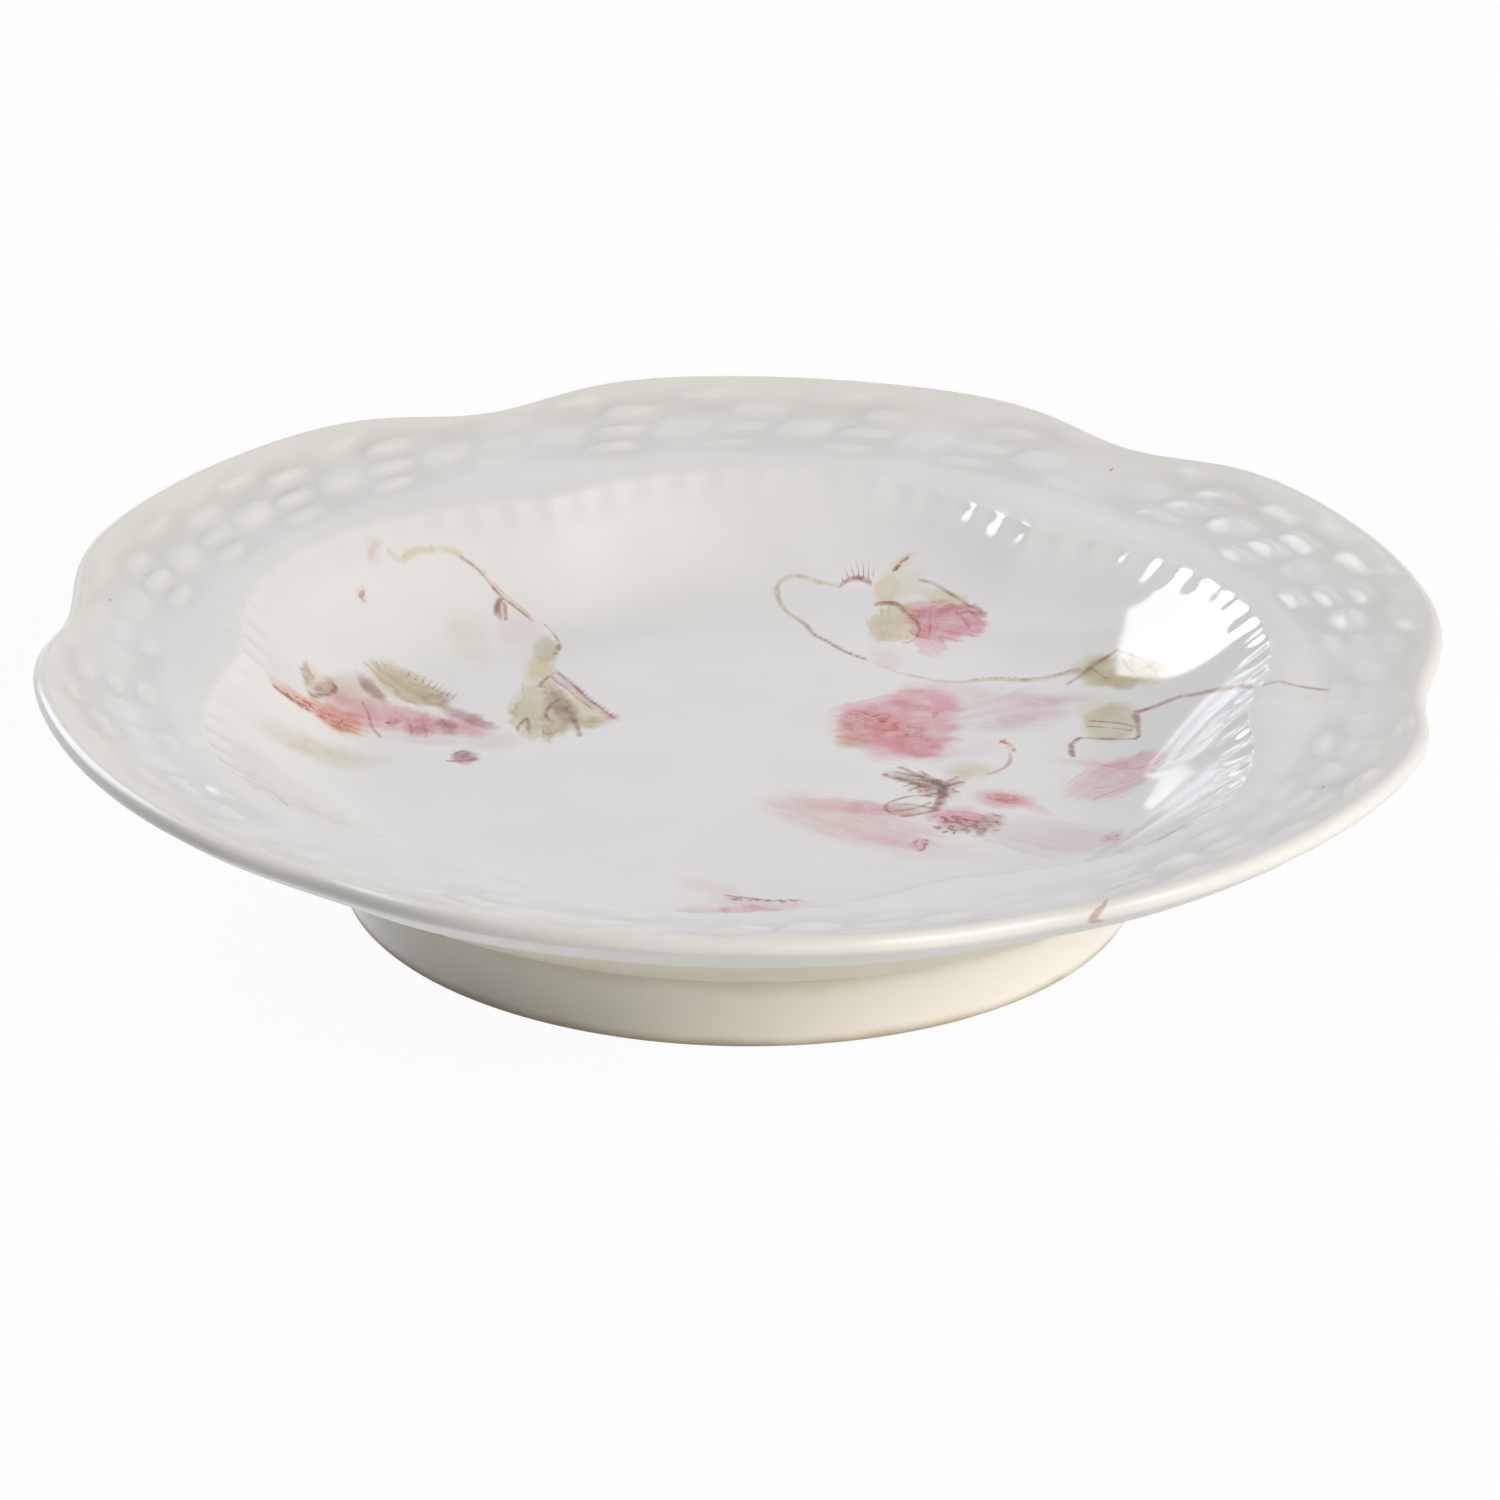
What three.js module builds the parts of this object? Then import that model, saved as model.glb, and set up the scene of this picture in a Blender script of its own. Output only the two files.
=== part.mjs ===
import * as THREE from 'three';

// Butter pat: a small lobed porcelain dish with a moulded rim, standing on a foot ring.
// Millimetres, +Z up. The origin is on the table, under the middle of the dish, and the
// rim draws in to a notch along +X and at every further lobe angle.

// Rim outline
const LOBE_COUNT = 6;
const RIM_RADIUS = 40;
const NOTCH_DEPTH = 1.5;
const NOTCH_HALF_WIDTH = 6.2;
const LIP_THICKNESS = 1.2;

// Bands of the rim from the lip inwards: a plain band, basketweave, two beads and a groove
const PLAIN_BAND_WIDTH = 2.3;
const WEAVE_WIDTH = 5;
const WEAVE_RELIEF = 0.3;
const WEAVE_LEAN = 3.3;
const WEAVE_PAIRS_PER_LOBE = 5;
const WEAVE_BARS = 3;
const BEAD_COUNT = 2;
const BEAD_WIDTH = 0.5;
const BEAD_RELIEF = 0.1;
const GROOVE_WIDTH = 0.7;
const GROOVE_DEPTH = 0.1;

// Well: a round floor, and a lobed wall whose top is cut into an arcade of short flutes
const FLOOR_RADIUS = 20;
const WELL_DEPTH = 5.6;
const WELL_CUSP = 3;
const FLUTES_PER_LOBE = 14;
const FLUTE_DEPTH = 0.25;
const FLUTE_LENGTH = 2.2;

// Thickness of the dish, and how far its rim climbs from the well to the lip
const FLOOR_THICKNESS = 1.7;
const WALL_THICKNESS = 2.2;
const RIM_RISE = 2.1;

// Foot ring: tapered to a narrow bearing face, with a cove under its seat
const FOOT_HEIGHT = 5.3;
const FOOT_BASE_RADIUS = 22.5;
const FOOT_BASE_WIDTH = 1.9;
const FOOT_EDGE_RADIUS = 0.45;
const FOOT_SEAT_RADIUS = 24.3;
const FOOT_SEAT_WIDTH = 4.4;
const COVE_HEIGHT = 1.4;
const COVE_OVERHANG = 0.8;

// Facets: each flute is cut by one valley and one ridge
const FACETS_PER_FLUTE = 2;
const DISH_FACETS = LOBE_COUNT * FLUTES_PER_LOBE * FACETS_PER_FLUTE;
const FOOT_FACETS = LOBE_COUNT * FLUTES_PER_LOBE;
const LIP_STEPS = 4;
const UNDERSIDE_STEPS = 4;
const FLUTE_STEPS = 3;
const WALL_STEPS = 3;
const COVE_STEPS = 3;
const FOOT_EDGE_STEPS = 2;

// Radii and heights that follow from the sizes above
const WEAVE_OUTER_RADIUS = RIM_RADIUS - PLAIN_BAND_WIDTH;
const BEAD_OUTER_RADIUS = WEAVE_OUTER_RADIUS - WEAVE_WIDTH;
const WELL_RADIUS = BEAD_OUTER_RADIUS - BEAD_COUNT * BEAD_WIDTH - GROOVE_WIDTH;
const LIP_CREST_RADIUS = RIM_RADIUS - LIP_THICKNESS / 2;
const FLOOR_HEIGHT = FOOT_HEIGHT + FLOOR_THICKNESS;
const WELL_EDGE_HEIGHT = FLOOR_HEIGHT + WELL_DEPTH;
const WALL_ANGLE = Math.atan2(WELL_DEPTH, (WELL_RADIUS - FLOOR_RADIUS) / 2);
const LOBE_ANGLE = 2 * Math.PI / LOBE_COUNT;

const { lerp } = THREE.MathUtils;

function point(radius, height) {
  return new THREE.Vector2(radius, height);
}

// Points of a curve after its first one, evenly spaced
function pointsAfterStart(curve, steps) {
  return curve.getPoints(steps).slice(1);
}

// Lip radius: round lobes that meet in smooth, narrow notches
function lipRadius(angle) {
  const fromNotch = angle - LOBE_ANGLE * Math.round(angle / LOBE_ANGLE);
  const alongLip = fromNotch * RIM_RADIUS / NOTCH_HALF_WIDTH;
  return RIM_RADIUS - NOTCH_DEPTH * Math.exp(-alongLip * alongLip);
}

// Well radius: arcs that meet in cusps on the same lines as the notches
function wellRadius(angle) {
  return WELL_RADIUS - WELL_CUSP * (1 - Math.abs(Math.sin(angle * LOBE_COUNT / 2)));
}

// The rim's top is a dished surface of revolution, trimmed by the lobed outline
function rimHeight(radius) {
  const share = Math.max(0, radius - WELL_RADIUS) / (LIP_CREST_RADIUS - WELL_RADIUS);
  return WELL_EDGE_HEIGHT + RIM_RISE * share * share;
}

// Basketweave: narrow bars in threes alternate with a broad one, in columns that lean round the rim
function weaveRelief(across, angle) {
  const midRadius = WEAVE_OUTER_RADIUS - WEAVE_WIDTH / 2;
  const leaning = angle + WEAVE_LEAN / midRadius * across;
  const column = Math.sin(leaning * LOBE_COUNT * WEAVE_PAIRS_PER_LOBE);
  const narrowBars = 0.5 - 0.5 * Math.cos(2 * Math.PI * WEAVE_BARS * across);
  const broadBar = Math.sin(Math.PI * across);
  return WEAVE_RELIEF * (column > 0 ? column * narrowBars : -column * broadBar);
}

// Depth of the flutes along the top of the well wall: scoops between sharp ridges
function fluteScoop(angle) {
  return FLUTE_DEPTH * Math.abs(Math.sin(angle * LOBE_COUNT * FLUTES_PER_LOBE / 2));
}

// Rows across the rim from the lip inwards, each with its radius over a lobe and its relief
function rimRows(angle) {
  const rows = [{ radius: RIM_RADIUS - PLAIN_BAND_WIDTH / 2, relief: 0 }];
  const weaveRows = 2 * WEAVE_BARS;
  for (let row = 0; row <= weaveRows; row += 1) {
    const across = 1 - row / weaveRows;
    rows.push({
      radius: BEAD_OUTER_RADIUS + WEAVE_WIDTH * across,
      relief: weaveRelief(across, angle),
    });
  }
  for (let bead = 0; bead < BEAD_COUNT; bead += 1) {
    const outerRadius = BEAD_OUTER_RADIUS - bead * BEAD_WIDTH;
    rows.push({ radius: outerRadius - BEAD_WIDTH / 2, relief: BEAD_RELIEF });
    rows.push({ radius: outerRadius - BEAD_WIDTH, relief: 0 });
  }
  rows.push({ radius: WELL_RADIUS + GROOVE_WIDTH / 2, relief: -GROOVE_DEPTH });
  return rows;
}

// Top of the rim at one angle: the rows spread between the lobed well and the lobed lip
function rimTop(angle) {
  return rimRows(angle).map((row) => {
    const share = (row.radius - WELL_RADIUS) / (RIM_RADIUS - WELL_RADIUS);
    const radius = lerp(wellRadius(angle), lipRadius(angle), share);
    return point(radius, rimHeight(radius) + row.relief);
  });
}

// Rounded lip at one angle, from the underside of the rim up to its crest
function lipArc(angle) {
  const crestRadius = lipRadius(angle) - LIP_THICKNESS / 2;
  const centreHeight = rimHeight(crestRadius) - LIP_THICKNESS / 2;
  const lean = Math.atan(2 * RIM_RISE / (LIP_CREST_RADIUS - WELL_RADIUS));
  const halfRound = new THREE.EllipseCurve(
    crestRadius, centreHeight, LIP_THICKNESS / 2, LIP_THICKNESS / 2,
    lean - Math.PI / 2, Math.PI / 2,
  );
  return halfRound.getPoints(LIP_STEPS);
}

// Underside of the dish, turned round and smooth from the foot's seat out to the lip
function underside(lipStart) {
  const seat = point(FOOT_SEAT_RADIUS, FOOT_HEIGHT);
  const knee = point(
    WELL_RADIUS + WALL_THICKNESS * Math.tan(WALL_ANGLE / 2),
    WELL_EDGE_HEIGHT - WALL_THICKNESS,
  );
  const wallFoot = knee.x - (knee.y - seat.y) / Math.tan(WALL_ANGLE);
  const wall = new THREE.QuadraticBezierCurve(
    seat, point(Math.max(seat.x, wallFoot), seat.y), knee,
  );
  const rim = new THREE.QuadraticBezierCurve(
    knee, point(lerp(knee.x, lipStart.x, 0.5), knee.y), lipStart,
  );
  return [
    point(0, FOOT_HEIGHT),
    seat,
    ...pointsAfterStart(wall, UNDERSIDE_STEPS),
    ...pointsAfterStart(rim, UNDERSIDE_STEPS).slice(0, -1),
  ];
}

// Inside of the well at one angle, from its fluted edge down to the floor
function wellInside(angle) {
  const edge = wellRadius(angle);
  const wall = new THREE.QuadraticBezierCurve(
    point(edge, WELL_EDGE_HEIGHT),
    point(lerp(edge, FLOOR_RADIUS, 0.5), FLOOR_HEIGHT),
    point(FLOOR_RADIUS, FLOOR_HEIGHT),
  );
  const fluteShare = FLUTE_LENGTH / wall.getLength();
  const points = [];
  for (let step = 0; step < FLUTE_STEPS; step += 1) {
    const fade = step / FLUTE_STEPS;
    const along = fluteShare * fade;
    const tangent = wall.getTangentAt(along);
    const scoop = fluteScoop(angle) * (1 - fade);
    const inWall = wall.getPointAt(along);
    points.push(point(inWall.x - tangent.y * scoop, inWall.y + tangent.x * scoop));
  }
  for (let step = 0; step <= WALL_STEPS; step += 1) {
    points.push(wall.getPointAt(lerp(fluteShare, 1, step / WALL_STEPS)));
  }
  return [...points, point(0, FLOOR_HEIGHT)];
}

// Whole section of the dish at one angle, from the middle of its base to the middle of its floor
function dishSection(angle) {
  const lip = lipArc(angle);
  return [...underside(lip[0]), ...lip, ...rimTop(angle), ...wellInside(angle)];
}

// A body turned round the Z axis whose section changes with the angle
function loftRound(sectionAt, facets) {
  const geometry = new THREE.LatheGeometry(sectionAt(0), facets);
  const position = geometry.attributes.position;
  const rowCount = position.count / (facets + 1);
  for (let column = 0; column <= facets; column += 1) {
    const angle = 2 * Math.PI * (column % facets) / facets;
    sectionAt(angle).forEach((spot, row) => {
      const x = spot.x * Math.cos(angle);
      const y = spot.x * Math.sin(angle);
      position.setXYZ(column * rowCount + row, x, y, spot.y);
    });
  }
  geometry.computeVertexNormals();
  return geometry;
}

// Section of the foot ring: a closed outline, from the bearing face outwards and up to the seat
function footSection() {
  const outerEdge = new THREE.EllipseCurve(
    FOOT_BASE_RADIUS - FOOT_EDGE_RADIUS, FOOT_EDGE_RADIUS, FOOT_EDGE_RADIUS, FOOT_EDGE_RADIUS,
    -Math.PI / 2, 0,
  );
  const innerEdge = new THREE.EllipseCurve(
    FOOT_BASE_RADIUS - FOOT_BASE_WIDTH + FOOT_EDGE_RADIUS, FOOT_EDGE_RADIUS,
    FOOT_EDGE_RADIUS, FOOT_EDGE_RADIUS,
    -Math.PI, -Math.PI / 2,
  );
  const coveFoot = point(FOOT_SEAT_RADIUS - COVE_OVERHANG, FOOT_HEIGHT - COVE_HEIGHT);
  const cove = new THREE.QuadraticBezierCurve(
    coveFoot,
    point(FOOT_SEAT_RADIUS - COVE_OVERHANG / 2, FOOT_HEIGHT),
    point(FOOT_SEAT_RADIUS, FOOT_HEIGHT),
  );
  const outline = [
    ...outerEdge.getPoints(FOOT_EDGE_STEPS),
    ...cove.getPoints(COVE_STEPS),
    point(FOOT_SEAT_RADIUS - FOOT_SEAT_WIDTH, FOOT_HEIGHT),
    ...innerEdge.getPoints(FOOT_EDGE_STEPS),
  ];
  return [...outline, outline[0]];
}

function namedMesh(name, geometry, color, roughness) {
  const material = new THREE.MeshStandardMaterial({ color, roughness, metalness: 0 });
  const mesh = new THREE.Mesh(geometry, material);
  mesh.name = name;
  return mesh;
}

const footGeometry = new THREE.LatheGeometry(footSection(), FOOT_FACETS);
footGeometry.rotateX(Math.PI / 2);

const butterPat = new THREE.Group();
butterPat.add(namedMesh('dish', loftRound(dishSection, DISH_FACETS), 0xf1efea, 0.12));
butterPat.add(namedMesh('foot_ring', footGeometry, 0xeee8d8, 0.2));

export default butterPat;
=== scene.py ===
import math

import bpy
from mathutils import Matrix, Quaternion, Vector


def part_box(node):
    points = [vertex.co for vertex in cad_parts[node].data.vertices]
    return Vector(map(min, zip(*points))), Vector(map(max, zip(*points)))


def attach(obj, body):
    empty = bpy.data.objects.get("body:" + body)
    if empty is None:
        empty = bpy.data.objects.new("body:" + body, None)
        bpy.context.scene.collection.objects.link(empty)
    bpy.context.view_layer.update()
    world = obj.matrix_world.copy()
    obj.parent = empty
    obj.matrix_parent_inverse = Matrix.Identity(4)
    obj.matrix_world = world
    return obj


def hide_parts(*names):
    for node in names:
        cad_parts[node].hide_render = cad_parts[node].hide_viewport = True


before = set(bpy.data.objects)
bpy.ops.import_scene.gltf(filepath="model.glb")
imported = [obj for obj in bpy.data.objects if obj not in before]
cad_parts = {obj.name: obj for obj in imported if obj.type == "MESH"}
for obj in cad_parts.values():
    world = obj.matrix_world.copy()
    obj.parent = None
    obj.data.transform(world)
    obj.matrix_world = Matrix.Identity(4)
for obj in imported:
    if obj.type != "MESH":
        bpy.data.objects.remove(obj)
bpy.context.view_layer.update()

# Camera
# A long lens looks down into the dish from just over its rim, a little to the right of the
# lobe that faces it, and leans by under a degree.
mm = 0.001
view_azimuth = math.radians(6.3)
view_elevation = math.radians(24.04)
view_distance = 600 * mm
view_aim_right = 0.51 * mm
view_aim_up = 7.24 * mm
view_lean = math.radians(0.8)
camera_data = bpy.data.cameras.new("camera")
camera_data.sensor_width = 36
camera_data.lens = 253.7
camera = bpy.data.objects.new("camera", camera_data)
bpy.context.scene.collection.objects.link(camera)
bpy.context.scene.camera = camera
camera_back = Vector((
    math.sin(view_azimuth) * math.cos(view_elevation),
    -math.cos(view_azimuth) * math.cos(view_elevation),
    math.sin(view_elevation),
))
camera_turn = (-camera_back).to_track_quat("-Z", "Y")
camera_right = camera_turn @ Vector((1, 0, 0))
camera_up = camera_turn @ Vector((0, 1, 0))
camera.location = camera_back * view_distance + camera_right * view_aim_right + camera_up * view_aim_up
camera.rotation_mode = "QUATERNION"
camera.rotation_quaternion = camera_turn @ Quaternion((0, 0, 1), view_lean)

# Dish
# Pressed white porcelain. Six lobes draw in to soft notches, and the rim carries basketweave in
# low relief, worn soft by the glaze, over a well whose wall starts in an arcade of short flutes.


class Wire:
    """An output of a node tree. Sums on wires and numbers add Math nodes to the tree."""

    def __init__(self, tree, socket):
        self.tree = tree
        self.socket = socket

    @classmethod
    def node(cls, tree, kind, settings=None, inputs=None, output=0):
        made = tree.nodes.new(kind)
        for name, value in (settings or {}).items():
            setattr(made, name, value)
        for name, value in (inputs or {}).items():
            links = value if isinstance(value, list) else [value]
            for link in links:
                if isinstance(link, Wire):
                    tree.links.new(link.socket, made.inputs[name])
                else:
                    made.inputs[name].default_value = link
        return cls(tree, made.outputs[output])

    def sibling(self, output):
        """Another output of the same node."""
        return Wire(self.tree, self.socket.node.outputs[output])

    def maths(self, operation, *values):
        settings = {"operation": operation}
        return self.node(self.tree, "ShaderNodeMath", settings, dict(enumerate(values)))

    def __add__(self, other):
        return self.maths("ADD", self, other)

    def __radd__(self, other):
        return self.maths("ADD", other, self)

    def __sub__(self, other):
        return self.maths("SUBTRACT", self, other)

    def __rsub__(self, other):
        return self.maths("SUBTRACT", other, self)

    def __mul__(self, other):
        return self.maths("MULTIPLY", self, other)

    def __rmul__(self, other):
        return self.maths("MULTIPLY", other, self)

    def __truediv__(self, other):
        return self.maths("DIVIDE", self, other)

    def __rtruediv__(self, other):
        return self.maths("DIVIDE", other, self)

    def __pow__(self, other):
        return self.maths("POWER", self, other)

    def __neg__(self):
        return self.maths("MULTIPLY", self, -1)

    def sin(self):
        return self.maths("SINE", self)

    def cos(self):
        return self.maths("COSINE", self)

    def abs(self):
        return self.maths("ABSOLUTE", self)

    def root(self):
        return self.maths("SQRT", self)

    def nearest(self):
        return self.maths("ROUND", self)

    def over(self, least):
        return self.maths("MAXIMUM", self, least)

    def under(self, most):
        return self.maths("MINIMUM", self, most)

    def bell(self):
        """1 where the wire is 0, falling smoothly to 0 either side."""
        return self.maths("EXPONENT", -(self * self))

    def dying(self):
        """1 where the wire is 0, dying away above it."""
        return self.maths("EXPONENT", -self)

    def step(self, start, end, height=1):
        """0 up to start and height past end, or the other way round, with a smooth climb."""
        settings = {"interpolation_type": "SMOOTHSTEP"}
        inputs = {"Value": self, "From Min": start, "From Max": end, "To Max": height}
        return self.node(self.tree, "ShaderNodeMapRange", settings, inputs)


def blend(first, second, share):
    """A value part of the way from first to second."""
    return first + (second - first) * share


def bow(start, control, end, share):
    """A point (radius, height) along the curve that leaves start and meets end towards control."""
    rest = 1 - share
    return tuple(
        a * rest * rest + b * (rest * share * 2) + c * share * share
        for a, b, c in zip(start, control, end)
    )


def turned_piece(name, sizes, facets, bands_of):
    """A piece turned round Z. bands_of(size) lists its bands as (rows, materials, place), in order round
    the section, and place(angle, along) gives a band's radius and height, and for some how deep its relief
    lies, kept for painted shade in the hollows. A band has one material, or a second one right of the bare
    strip."""
    tree = bpy.data.node_groups.new(name, "GeometryNodeTree")
    tree.interface.new_socket("Geometry", in_out="OUTPUT", socket_type="NodeSocketGeometry")
    sockets = {}
    for label in sizes:
        sockets[label] = tree.interface.new_socket(label, in_out="INPUT", socket_type="NodeSocketFloat")
    group_input = tree.nodes.new("NodeGroupInput")
    size = {label: Wire(tree, group_input.outputs[label]) for label in sizes}

    bands = []
    for rows, materials, place in bands_of(size):
        grid = Wire.node(tree, "GeometryNodeMeshGrid", inputs={
            "Size X": 1, "Size Y": 1, "Vertices X": facets + 1, "Vertices Y": rows,
        })
        flat = Wire.node(tree, "GeometryNodeInputPosition")
        across = Wire.node(tree, "ShaderNodeSeparateXYZ", inputs={0: flat}, output="X")
        angle = (across + 0.5) * math.tau
        along = across.sibling("Y") + 0.5
        radius, height, *hollow = place(angle, along)
        spot = Wire.node(tree, "ShaderNodeCombineXYZ", inputs={
            "X": radius * angle.cos(), "Y": radius * angle.sin(), "Z": height,
        })
        for share in hollow:
            grid = Wire.node(tree, "GeometryNodeStoreNamedAttribute", inputs={
                "Geometry": grid, "Name": "hollow", "Value": share,
            })
        shaped = Wire.node(tree, "GeometryNodeSetPosition", inputs={"Geometry": grid, "Position": spot})
        coated = Wire.node(tree, "GeometryNodeSetMaterial", inputs={
            "Geometry": shaped, "Material": materials[0],
        })
        for material in materials[1:]:
            placed = Wire.node(tree, "GeometryNodeInputPosition")
            rightwards = Wire.node(tree, "ShaderNodeSeparateXYZ", inputs={0: placed}, output="X")
            coated = Wire.node(tree, "GeometryNodeSetMaterial", inputs={
                "Geometry": coated,
                "Selection": rightwards.maths("GREATER_THAN", rightwards, bare_strip),
                "Material": material,
            })
        bands.append(coated)

    joined = Wire.node(tree, "GeometryNodeJoinGeometry", inputs={"Geometry": bands})
    welded = Wire.node(tree, "GeometryNodeMergeByDistance", inputs={
        "Geometry": joined, "Distance": 0.002 * mm,
    })
    smooth = Wire.node(tree, "GeometryNodeSetShadeSmooth", inputs={"Geometry": welded})
    whole = Wire.node(tree, "GeometryNodeRealizeInstances", inputs={"Geometry": smooth})
    tree.links.new(whole.socket, tree.nodes.new("NodeGroupOutput").inputs[0])

    piece = bpy.data.objects.new(name, bpy.data.meshes.new(name))
    bpy.context.scene.collection.objects.link(piece)
    modifier = piece.modifiers.new(name, "NODES")
    modifier.node_group = tree
    for label, value in sizes.items():
        modifier[sockets[label].identifier] = value
    depsgraph = bpy.context.evaluated_depsgraph_get()
    mesh = bpy.data.meshes.new_from_object(piece.evaluated_get(depsgraph), depsgraph=depsgraph)
    piece.modifiers.clear()
    piece.data = mesh
    return piece


lobes = 6
weave_pairs = 5 * lobes
flutes = 14 * lobes
dish_low, dish_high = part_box("dish")
foot_low, foot_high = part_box("foot_ring")

bare_strip = -4.5 * mm
left_well_glaze = bpy.data.materials.new("left_well_glaze")
right_well_glaze = bpy.data.materials.new("right_well_glaze")
rim_glaze = bpy.data.materials.new("rim_glaze")
under_glaze = bpy.data.materials.new("under_glaze")

dish_sizes = {
    "Rim radius": 40 * mm,
    "Notch depth": 1.5 * mm,
    "Notch half width": 6.2 * mm,
    "Lip thickness": 1.2 * mm,
    "Lip height": dish_high.z,
    "Rim rise": 2.1 * mm,
    "Well radius": 31 * mm,
    "Well cusp": 3 * mm,
    "Well depth": 5.6 * mm,
    "Floor radius": 20 * mm,
    "Wall thickness": 2.2 * mm,
    "Base height": dish_low.z,
    "Seat radius": foot_high.x,
    "Weave inner radius": 32.7 * mm,
    "Weave width": 5 * mm,
    "Weave relief": 0.24 * mm,
    "Weave lean": 3.3 * mm,
    "Rib relief": 0.015 * mm,
    "Rib spacing": 1.5 * mm,
    "Ribbed half width": 3.6 * mm,
    "Bead radius": 32.28 * mm,
    "Bead spacing": 0.42 * mm,
    "Bead half width": 0.15 * mm,
    "Bead relief": 0.012 * mm,
    "Groove radius": 31.45 * mm,
    "Groove width": 0.4 * mm,
    "Groove depth": 0.012 * mm,
    "Glaze lumps": 0.04 * mm,
    "Plain lip width": 0.7 * mm,
    "Plain edge width": 0.3 * mm,
    "Shoulder round": 0.8 * mm,
    "Flute depth": 0.11 * mm,
    "Flute length": 2.2 * mm,
    "Flute start": 0.6 * mm,
    "Flute arch": 0.17 * mm,
}


def dish_bands(size):
    half_lip = size["Lip thickness"] / 2
    crest_radius = size["Rim radius"] - half_lip
    edge_height = size["Lip height"] - size["Rim rise"]
    floor_height = edge_height - size["Well depth"]
    cusp_softness = 0.016
    flute_softness = 0.06
    lump_scale = 480
    wear_scale = 210

    def from_notch(angle):
        """The distance round the rim from the nearest notch."""
        lobe_angle = math.tau / lobes
        return (angle - (angle / lobe_angle).nearest() * lobe_angle) * size["Rim radius"]

    def lip_crest(angle):
        return crest_radius - size["Notch depth"] * (from_notch(angle) / size["Notch half width"]).bell()

    def well_edge(angle):
        swing = (angle * (lobes / 2)).sin()
        return size["Well radius"] - size["Well cusp"] * (1 - (swing * swing + cusp_softness).root())

    def rim_height(radius):
        share = (radius - size["Well radius"]).over(0) / (crest_radius - size["Well radius"])
        return edge_height + size["Rim rise"] * share * share

    def scoop(angle):
        swing = (angle * (flutes / 2)).sin()
        return (swing * swing + flute_softness).root()

    def patches(radius, angle, scale):
        """Random patches over the rim, from -1 to 1."""
        spot = Wire.node(angle.tree, "ShaderNodeCombineXYZ", inputs={
            "X": radius * angle.cos(), "Y": radius * angle.sin(),
        })
        inputs = {"Vector": spot, "Scale": scale, "Detail": 0}
        return Wire.node(angle.tree, "ShaderNodeTexNoise", inputs=inputs) * 4 - 2

    def shoulder(away):
        """How far the rounded shoulder of the well lies under its edge, at a distance from it."""
        return size["Shoulder round"] * 0.5 * (away / size["Shoulder round"]).dying()

    def weave(across, angle):
        """Columns of three bars, and between them columns of one broad bar and one at the brim."""
        lean = size["Weave lean"] / size["Rim radius"]
        column = ((angle + lean * across) * weave_pairs).sin()
        over_stake = column.over(0) ** 0.8
        under_stake = (-column).over(0) ** 0.8
        narrow = (0.5 - 0.5 * (across * (3 * math.tau)).cos()) * across.step(1.02, 0.98)
        broad = 1.3 * ((across - 0.5) / 0.16).bell() + 1.1 * ((across - 1.06) / 0.11).bell()
        return (over_stake * narrow + under_stake * broad) * across.step(-0.02, 0.08)

    def rim_relief(radius, angle):
        """How far the rim stands up, and how deep it lies between the bars of the weave, for painted shade
        in the hollows.
        """
        across = (radius - size["Weave inner radius"]) / size["Weave width"]
        notch = from_notch(angle)
        at_notch = (notch / size["Ribbed half width"]).bell()
        banded = across.step(-0.1, 0.3) * across.step(1.1, 0.7)
        ribs = (notch / size["Rib spacing"] * math.tau).cos() * banded
        woven = weave(across, angle)
        border = blend(woven * size["Weave relief"], ribs * size["Rib relief"], at_notch)
        beads = sum(
            ((radius - size["Bead radius"] + size["Bead spacing"] * side) / size["Bead half width"]).bell()
            for side in (-0.5, 0.5)
        )
        groove = ((radius - size["Groove radius"]) / size["Groove width"]).bell()
        lumps = patches(radius, angle, lump_scale) * size["Glaze lumps"]
        crisp = 1 + patches(radius, angle, wear_scale) * 0.7
        raised = border * crisp + lumps + beads * size["Bead relief"] - groove * size["Groove depth"]
        within = across.step(-0.15, 0.15) * across.step(1.2, 0.95) * (1 - at_notch * 0.7)
        return raised, woven.step(0.75, 0.1) * within * crisp

    def base(angle, along):
        return size["Seat radius"] * along, size["Base height"] + angle * 0

    def knee():
        return size["Well radius"] + size["Wall thickness"] * 0.46, edge_height - size["Wall thickness"]

    def wall_underside(angle, along):
        seat = size["Seat radius"], size["Base height"]
        knee_radius, knee_height = knee()
        turn = knee_radius - (knee_height - size["Base height"]), size["Base height"]
        return bow(seat, turn, knee(), along)

    def lip_place(angle, turn):
        crest = lip_crest(angle)
        middle = rim_height(crest) - half_lip
        return crest + half_lip * turn.cos(), middle + half_lip * turn.sin()

    lip_start = math.radians(-64)

    def rim_underside(angle, along):
        knee_radius, knee_height = knee()
        meets = lip_place(angle, angle * 0 + lip_start)
        turn = blend(knee_radius, meets[0], 0.5), knee_height
        return bow(knee(), turn, meets, along)

    def lip(angle, along):
        return lip_place(angle, lip_start + along * (math.pi / 2 - lip_start))

    def rim_top(angle, along):
        edge = well_edge(angle) + size["Flute arch"] * scoop(angle)
        crest = lip_crest(angle)
        radius = blend(crest, edge, along)
        from_lip = (crest - radius).step(0, size["Plain lip width"])
        fade = from_lip * (radius - edge).step(0, size["Plain edge width"])
        raised, hollow = rim_relief(radius, angle)
        return radius, rim_height(radius) + raised * fade - shoulder(radius - edge), hollow * fade

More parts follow.
